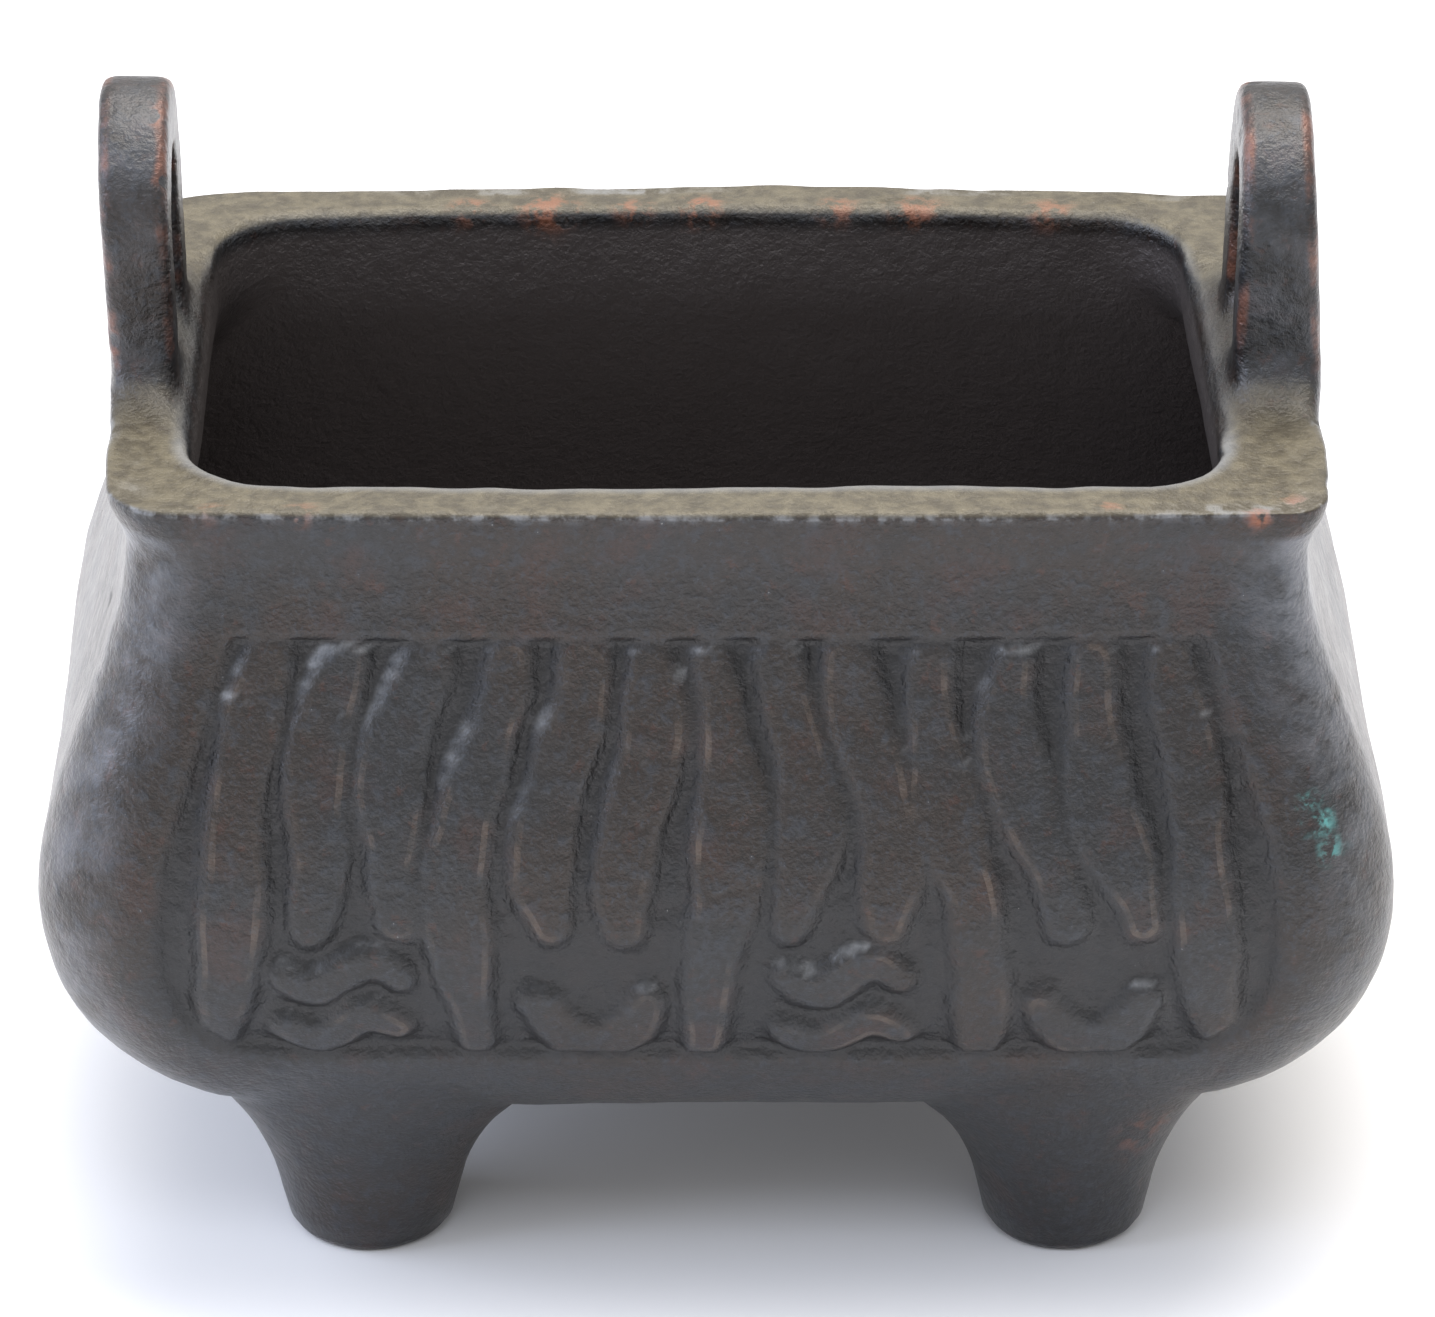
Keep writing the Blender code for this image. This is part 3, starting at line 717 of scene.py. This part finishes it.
# Waviness and pits of a sand casting, worked into the whole surface
def castSurface(mesh):
    mesh.normal_update()
    points = np.array([vert.co for vert in mesh.verts])
    ground = carvedShare(*carving(points))
    pits = kdtree.KDTree(casting["pitCount"])
    generator = np.random.default_rng(casting["pitSeed"])
    for index, chosen in enumerate(generator.integers(0, len(points), casting["pitCount"])):
        pits.insert(points[chosen], index)
    pits.balance()
    aboveRim = points[:, 2] - bowl["rimHeight"]
    rimEdge = fade(aboveRim, *casting["rimWavesFoot"]) * (aboveRim < casting["rimWavesTop"])
    for vert, share, edge in zip(mesh.verts, ground, rimEdge):
        place = vert.co.copy()
        rise = sum(high * noise.noise(place * often) for often, high in casting["waves"])
        for worked, (often, high) in ((share, casting["stipple"]), (edge, casting["rimWaves"])):
            if worked:
                rise += worked * high * noise.noise(place * often)
        away = pits.find(place)[2] / casting["pitRadius"]
        rise -= casting["pitDepth"] * max(0.0, 1 - away * away) ** 2
        vert.co += vert.normal * rise
        vert.co.z = max(vert.co.z, 0.0)


# Where single spots of copper and verdigris show: place, size across and strength
spots = {
    "copper": (
        ((39.0, -28.2, 64.5), 0.8, 0.9),
        ((41.7, -26.4, 64.9), 0.8, 0.8),
        ((28.3, -27.7, 65.0), 0.6, 0.7),
        ((-30.0, -28.0, 64.8), 1.0, 0.5),
        ((-36.5, -27.8, 64.6), 0.8, 0.5),
        ((44.6, -12.0, 66.0), 1.1, 0.9),
        ((-1.3, 24.9, 65.2), 1.7, 0.8),
        ((-6.5, 24.8, 65.2), 1.5, 0.7),
        ((-13.0, 24.8, 65.2), 2.2, 0.8),
        ((-19.0, 24.6, 65.2), 1.6, 0.7),
        ((9.2, 24.8, 65.2), 1.5, 0.7),
        ((15.2, 24.7, 65.2), 1.8, 0.8),
        ((25.7, 24.2, 65.1), 1.5, 0.7),
        ((32.1, -25.1, 11.5), 2.2, 0.35),
    ),
    "verdigris": (
        ((44.0, -31.3, 41.2), 0.9, 1.0),
        ((43.4, -31.2, 42.9), 0.7, 0.9),
        ((44.7, -31.3, 39.0), 0.9, 1.0),
        ((42.9, -31.6, 37.2), 0.6, 0.7),
    ),
}


# Where wear and dirt lie, and where highlights and light are painted. A pair is where a mark starts and
# where it is full, in millimetres unless noted
wearAndPaintedLight = {
    "spot": (1.5, 0.5),  # in sizes of the spot
    "bendPasses": 2,
    "shortestStep": 0.01,  # keeps tiny edges from counting as sharp bends
    "ledgeFoot": (-0.75, -0.25),  # above the rim, and so are the next two
    "ledgeTop": (2.5, 1.0),
    "handles": (1.0, 4.0),
    "ledgeFacing": (0.25, 0.75),  # how far the surface faces up, 1 being level
    "ledgeByHandle": (9.0, 19.0),  # distance from a handle's middle
    "handleInset": 3.0,
    "dustByHandle": 0.35,
    "hollowDepth": 2.0,
    "inside": (-0.6, -2.6),  # above the rim; the inside of the bowl is painted lighter, painted light in the hollow
    "rimFaceFoot": (-0.6, -0.3),
    "rimFaceTop": (0.0, -0.2),
    "rimFaceDepth": 1.0,
    "lipBack": (5.0, 20.0),  # painted highlight on the mouth's lip, paler towards the back
    "lipShift": 1.2,
    "cornerHighlightSide": (7.0, 0.0),  # painted highlight down the body's upright corners: distance in from a side, and from a face
    "cornerHighlightFace": (9.0, 0.0),
    "cornerHighlightTop": 2.0,
    "highlightAndRubbingFoot": (4.0, 10.0),
    "rubbedHandles": 0.35,
    "highlightAndRubbingBack": 0.4,
    "upward": (0.35, 0.55),  # painted glint on the strokes' up-facing slopes: how far the surface faces up
    "paintedGlintDepth": 0.2,
}


def spotMask(points, which):
    mask = np.zeros(len(points))
    for place, across, strength in spots[which]:
        away = np.linalg.norm(points - np.array(place), axis=1) / across
        mask = np.maximum(mask, strength * fade(away, *wearAndPaintedLight["spot"]))
    return mask


# Distances, wear and painted light that the patina follows, one number a vertex
def markSurface(data):
    mesh = bmesh.new()
    mesh.from_mesh(data)
    mesh.normal_update()
    points = np.array([vert.co for vert in mesh.verts])
    inPanel, inStroke = carving(points)
    bend = np.zeros(len(points))
    neighbours = []
    for vert in mesh.verts:
        around = [edge.other_vert(vert) for edge in vert.link_edges]
        neighbours.append([other.index for other in around])
        total = 0.0
        for other in around:
            step = other.co - vert.co
            total -= vert.normal.dot(step) / max(step.length_squared, wearAndPaintedLight["shortestStep"])
        bend[vert.index] = total / max(len(around), 1)
    for _ in range(wearAndPaintedLight["bendPasses"]):
        bend = np.array([(bend[i] + bend[near].mean()) / 2 for i, near in enumerate(neighbours)])
    facingUp = np.array([vert.normal.z for vert in mesh.verts])
    mesh.free()
    x, y, z = points.T
    aboveRim = z - bowl["rimHeight"]
    fromHandle = np.hypot(np.abs(x) - rim.right + wearAndPaintedLight["handleInset"], y)
    ledge = fade(aboveRim, *wearAndPaintedLight["ledgeFoot"]) * fade(aboveRim, *wearAndPaintedLight["ledgeTop"])
    ledge *= fade(facingUp, *wearAndPaintedLight["ledgeFacing"])
    ledge *= wearAndPaintedLight["dustByHandle"] + (1 - wearAndPaintedLight["dustByHandle"]) * fade(fromHandle, *wearAndPaintedLight["ledgeByHandle"])
    inX, inY, depth = insideSection(outerSections(z), x, y)
    hollow = (depth > wearAndPaintedLight["hollowDepth"]) & (z > bowl["baseHeight"] + wearAndPaintedLight["hollowDepth"])
    # Painted light: the inside of the bowl gets a lighter colour for the light that reaches into it
    inside = fade(aboveRim, *wearAndPaintedLight["inside"]) * hollow
    handles = fade(aboveRim, *wearAndPaintedLight["handles"])
    rimFace = fade(aboveRim, *wearAndPaintedLight["rimFaceFoot"]) * fade(aboveRim, *wearAndPaintedLight["rimFaceTop"])
    rimFace *= depth < wearAndPaintedLight["rimFaceDepth"]
    # A painted highlight along the ledge at the mouth's edge
    lip = wearAndPaintedLight["lipShift"] * fade(y, *wearAndPaintedLight["lipBack"]) - insideSection(mouth, x, y)[2]
    # A pale colour down the body's upright corners is a painted highlight; on the handles it is rubbing
    corners = fade(inX, *wearAndPaintedLight["cornerHighlightSide"]) * fade(inY, *wearAndPaintedLight["cornerHighlightFace"])
    corners *= z < neckHeight + wearAndPaintedLight["cornerHighlightTop"]
    highlightAndRubbing = np.maximum(corners, wearAndPaintedLight["rubbedHandles"] * handles)
    highlightAndRubbing *= fade(z - bowl["baseHeight"], *wearAndPaintedLight["highlightAndRubbingFoot"]) * np.where(y > 0, wearAndPaintedLight["highlightAndRubbingBack"], 1)
    # Painted glints: a pale colour on up-facing slopes inside the panel
    upward = fade(facingUp, *wearAndPaintedLight["upward"]) * (inPanel > wearAndPaintedLight["paintedGlintDepth"]) * ~hollow
    inPanel[hollow] = panel["farOutside"]
    inStroke[hollow] = panel["farOutside"]
    marks = {
        "inPanel": inPanel,
        "inStroke": inStroke,
        "bend": bend,
        "ledge": ledge,
        "inside": inside,
        "handles": handles,
        "highlightAndRubbing": highlightAndRubbing,
        "rimFace": rimFace,
        "upward": upward,
        "lip": lip,
        "copper": spotMask(points, "copper"),
        "verdigris": spotMask(points, "verdigris"),
    }
    for name, values in marks.items():
        attribute = data.attributes.new(name, "FLOAT", "POINT")
        attribute.data.foreach_set("value", values.astype(np.float32))
    return list(marks)


print("bowl")
bowlMesh = makeBowl()
bowlTree = BVHTree.FromBMesh(bowlMesh)
print("feet")
added = bmesh.new()
reachX = bowl["bellyWidth"] / 2 - foot["sideInset"]
reachY = bowl["bellyDepth"] / 2 - foot["faceInset"]
for signX in (-1, 1):
    for signY in (-1, 1):
        makeFoot(added, signX * reachX, signY * reachY, bowlTree)
print("handles")
makeHandle(added, "left", -1)
makeHandle(added, "right", 1)
addedTree = BVHTree.FromBMesh(added)
print("joining")
whole = newObject("bowl", bowlMesh)
limbs = newObject("limbs", added)
union = whole.modifiers.new("limbs", "BOOLEAN")
union.operation = "UNION"
union.solver = "EXACT"
union.object = limbs
joined = meshOf(whole)
bpy.data.objects.remove(limbs)
surface = inOrder(joined)
softenSeams(surface, bowlTree, addedTree)
print("cast surface")
castSurface(surface)
burner = newObject("bronzeBurner", surface)
markNames = markSurface(burner.data)
burner.data.transform(Matrix.Scale(mm, 4))
burner.data.shade_smooth()
print("triangles", sum(len(face.vertices) - 2 for face in burner.data.polygons))


def linear(hexColour):
    channels = [int(hexColour[start:start + 2], 16) / 255 for start in (1, 3, 5)]
    return tuple(c / 12.92 if c <= 0.04045 else ((c + 0.055) / 1.055) ** 2.4 for c in channels) + (1.0,)


# A texture's scale for features of a real size in millimetres
def perSize(size):
    return 1 / (size * mm)


# Adds one node: inputs are values or other nodes' outputs, settings are its own fields
def addNode(tree, kind, inputs=None, output=0, **settings):
    node = tree.nodes.new("ShaderNode" + kind)
    for name, value in settings.items():
        setattr(node, name, value)
    for socket, value in (inputs or {}).items():
        if isinstance(value, bpy.types.NodeSocket):
            tree.links.new(value, node.inputs[socket])
        else:
            node.inputs[socket].default_value = value
    return node.outputs[output]


# Cast bronze under a dark brown patina: part metal, part mineral skin, waxed, so it is dull from
# the front and shines white at a glancing angle. Edges are rubbed back to copper, the rim is dusty.
# Some colours here paint light: pale highlights on the corners, the lip and the strokes' slopes and edges,
# and a lighter inside
patina = {
    "brown": "#221811",
    "grey": "#1b1b1d",
    "slate": "#2b2f36",
    "rust": "#3b1f13",
    "soot": "#0f0d0c",
    "ground": "#0b0c10",
    # inside: painted light, lighter than the bronze, over the inside of the bowl
    "inside": "#5a5453",
    # pale: painted highlight on the corners, and rubbing on the handles
    "pale": "#767a82",
    # line: along the strokes' edges, part wear and part painted highlight
    "line": "#75685c",
    "dust": "#453d2a",
    # lip: the pale colour of the painted highlights on the mouth's lip and the strokes' slopes, and of the
    # rim's outer edge
    "dustLight": "#706751",
    "lip": "#8f9194",
    "copper": "#95593c",
    "verdigris": "#62aeac",
    "speck": "#a9a8a4",
    "metallic": 0.5,
    "roughness": 0.44,
    "glossSpread": (-0.08, 0.1),  # roughness under and over its middle value
    "wax": 0.64,
    "waxRoughness": 0.32,
    "dustRoughness": 0.25,  # what the dust on the ledge adds to roughness and to metallic
    "dustMetallic": -0.4,
    "edgeInset": 0.25,  # the pale line on each stroke, part wear and part painted highlight, lies this far inside its edge
    "edgeWidth": 0.22,
    "grainShare": 0.6,
    "bumpStrength": 0.7,
    "bumpHeight": 0.3,
}


def bronzeMaterial(markNames):
    material = bpy.data.materials.new("patinatedCastBronze")
    material.use_nodes = True
    tree = material.node_tree
    shader = tree.nodes["Principled BSDF"]
    place = addNode(tree, "TexCoord", output="Object")

    # Patterns, by the size of their features, with their detail and roughness
    pattern = {}
    for name, size, detail, rough in (
            ("broad", 18.0, 3.0, 0.5),
            ("patch", 5.0, 5.0, 0.62),
            ("mottle", 1.5, 4.0, 0.62),
            ("grain", 0.42, 3.0, 0.65)):
        pattern[name] = addNode(tree, "TexNoise", {
            "Vector": place, "Scale": perSize(size), "Detail": detail, "Roughness": rough})
    mark = {name: addNode(tree, "Attribute", output="Fac", attribute_name=name) for name in markNames}

    # Masks: a pattern or mark, faded in between two of its values, up to a strength
    mask = {}
    for name, source, low, high, strength in (
            ("grey", pattern["broad"], 0.42, 0.58, 1.0),
            ("slate", pattern["mottle"], 0.50, 0.68, 0.7),
            ("rust", pattern["mottle"], 0.42, 0.30, 0.6),
            ("soot", pattern["patch"], 0.44, 0.30, 0.6),
            ("rustPatch", pattern["patch"], 0.52, 0.70, 0.4),
            ("rimPart", pattern["mottle"], 0.42, 0.62, 0.6),
            ("darkGrain", pattern["grain"], 0.50, 0.32, 0.7),
            ("paleGrain", pattern["grain"], 0.52, 0.70, 0.7),
            ("speck", pattern["grain"], 0.74, 0.8, 0.6),
            ("panel", mark["inPanel"], 0.1, 0.9, 1.0),
            ("belowStroke", mark["inStroke"], 0.2, -0.8, 0.85),
            ("patchy", pattern["patch"], 0.48, 0.72, 0.3),
            ("speckled", pattern["mottle"], 0.44, 0.60, 0.8),
            ("highlightAndRubbingPart", pattern["patch"], 0.36, 0.66, 0.7),
            ("wornPart", pattern["patch"], 0.42, 0.66, 0.5),
            ("sharp", mark["bend"], 0.1, 0.24, 1.0),
            ("dust", mark["ledge"], 0.0, 1.0, 0.9),
            ("dustLight", pattern["mottle"], 0.30, 0.72, 1.0),
            ("hollow", mark["inside"], 0.0, 1.0, 0.95),
            ("lipOut", mark["lip"], 1.9, 0.5, 0.6),
            ("lipIn", mark["lip"], -0.2, 0.25, 1.0)):
        mask[name] = addNode(tree, "MapRange", {
            "Value": source, "From Min": low, "From Max": high, "To Max": strength},
            interpolation_type="SMOOTHSTEP")
    # A pale line just inside each stroke's edge: part wear, part painted highlight
    mask["edge"] = addNode(tree, "Math", {
        0: mark["inStroke"], 1: patina["edgeInset"], 2: patina["edgeWidth"]}, operation="COMPARE")
    # Masks that are the product of two others
    for name, one, other in (
            ("ground", mask["panel"], mask["belowStroke"]),
            ("line", mask["edge"], mask["patchy"]),
            ("highlightAndRubbing", mark["highlightAndRubbing"], mask["highlightAndRubbingPart"]),
            # painted glint on up-facing slopes
            ("upward", mark["upward"], mask["highlightAndRubbingPart"]),
            ("worn", mask["sharp"], mask["wornPart"]),
            ("worn", "worn", mark["handles"]),
            ("rim", mark["rimFace"], mask["rimPart"]),
            ("lip", mask["lipOut"], mask["lipIn"]),
            ("lip", "lip", mark["ledge"]),
            ("copper", mark["copper"], mask["speckled"]),
            ("verdigris", mark["verdigris"], mask["speckled"])):
        one = mask[one] if isinstance(one, str) else one
        mask[name] = addNode(tree, "Math", {0: one, 1: other}, operation="MULTIPLY")

    dust = addNode(tree, "Mix", {
        0: mask["dustLight"], 6: linear(patina["dust"]), 7: linear(patina["dustLight"])},
        output=2, data_type="RGBA")
    # Colours laid over each other, each through its mask. The pale corners, glints and lip are painted
    # highlights, the stroke lines partly so, and the lighter inside is painted light
    colour = linear(patina["brown"])
    for share, over in (
            ("grey", "grey"), ("slate", "slate"), ("rust", "rust"), ("rustPatch", "rust"), ("soot", "soot"),
            ("darkGrain", "soot"), ("paleGrain", "slate"), ("ground", "ground"), ("line", "line"),
            ("upward", "lip"), ("highlightAndRubbing", "pale"), ("dust", dust), ("rim", "lip"), ("worn", "copper"),
            ("hollow", "inside"), ("lip", "lip"), ("speck", "speck"), ("copper", "copper"),
            ("verdigris", "verdigris")):
        over = linear(patina[over]) if isinstance(over, str) else over
        colour = addNode(tree, "Mix", {0: mask[share], 6: colour, 7: over}, output=2, data_type="RGBA")
    tree.links.new(colour, shader.inputs["Base Color"])

    smoothest, roughest = (patina["roughness"] + change for change in patina["glossSpread"])
    gloss = addNode(tree, "MapRange", {
        "Value": pattern["mottle"], "From Min": 0.3, "From Max": 0.7,
        "To Min": smoothest, "To Max": roughest})
    dull = addNode(tree, "Math", {
        0: mark["ledge"], 1: patina["dustRoughness"], 2: gloss}, operation="MULTIPLY_ADD")
    tree.links.new(dull, shader.inputs["Roughness"])
    metal = addNode(tree, "Math", {
        0: mark["ledge"], 1: patina["dustMetallic"], 2: patina["metallic"]}, operation="MULTIPLY_ADD")
    tree.links.new(metal, shader.inputs["Metallic"])
    shader.inputs["Coat Weight"].default_value = patina["wax"]
    shader.inputs["Coat Roughness"].default_value = patina["waxRoughness"]

    rough = addNode(tree, "Math", {
        0: pattern["grain"], 1: patina["grainShare"], 2: pattern["mottle"]}, operation="MULTIPLY_ADD")
    bump = addNode(tree, "Bump", {
        "Height": rough, "Strength": patina["bumpStrength"], "Distance": patina["bumpHeight"] * mm})
    tree.links.new(bump, shader.inputs["Normal"])
    tree.links.new(bump, shader.inputs["Coat Normal"])
    return material


burner.data.materials.clear()
burner.data.materials.append(bronzeMaterial(markNames))
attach(burner, "root")
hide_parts("incense_burner")

studio = {
    "floorSize": 3.0,
    "floor": "#fafafc",
    "world": "#f2f2f3",
    "worldStrength": 0.8,
    "lights": (
        # name, place, size, watts, colour
        ("overhead", (0.12, 0.24, 0.95), 0.9, 11.5, "#fffaf2"),
        ("skyLeft", (-0.9, -0.1, 0.55), 0.8, 8.5, "#dfe9ff"),
        ("window", (0.0, -0.62, 0.9), 0.3, 1.4, "#eaf1ff"),
    ),
    "lens": 213.5,
    "tilt": 62.5,
    "distance": 0.649,
    "target": (0.0, 0.0, 0.0384),
    "lightsAim": (0.0, 0.0, 0.04),
}


def makeStudio():
    scene = bpy.context.scene
    floorMesh = bmesh.new()
    bmesh.ops.create_grid(floorMesh, x_segments=1, y_segments=1, size=studio["floorSize"] / 2)
    floor = newObject("floor", floorMesh)
    # Matte white paint: plain and pale, with hardly any sheen
    paint = bpy.data.materials.new("matteWhitePaint")
    paint.use_nodes = True
    shader = paint.node_tree.nodes["Principled BSDF"]
    shader.inputs["Base Color"].default_value = linear(studio["floor"])
    shader.inputs["Roughness"].default_value = 0.9
    shader.inputs["Specular IOR Level"].default_value = 0.1
    floor.data.materials.append(paint)

    scene.world = bpy.data.worlds.new("studio")
    scene.world.use_nodes = True
    background = scene.world.node_tree.nodes["Background"]
    background.inputs["Color"].default_value = linear(studio["world"])
    background.inputs["Strength"].default_value = studio["worldStrength"]
    for name, place, size, watts, colour in studio["lights"]:
        lamp = bpy.data.lights.new(name, "AREA")
        lamp.size = size
        lamp.energy = watts
        lamp.color = linear(colour)[:3]
        light = bpy.data.objects.new(name, lamp)
        light.location = place
        aim = Vector(studio["lightsAim"]) - Vector(place)
        light.rotation_euler = aim.to_track_quat("-Z", "Y").to_euler()
        scene.collection.objects.link(light)

    lens = bpy.data.cameras.new("camera")
    lens.lens = studio["lens"]
    lens.sensor_width = 36.0
    camera = bpy.data.objects.new("camera", lens)
    tilt = radians(studio["tilt"])
    away = Vector((0, -sin(tilt), cos(tilt))) * studio["distance"]
    camera.location = Vector(studio["target"]) + away
    camera.rotation_euler = (tilt, 0, 0)
    scene.collection.objects.link(camera)
    scene.camera = camera
    scene.view_settings.view_transform = "Standard"


print("studio")
makeStudio()
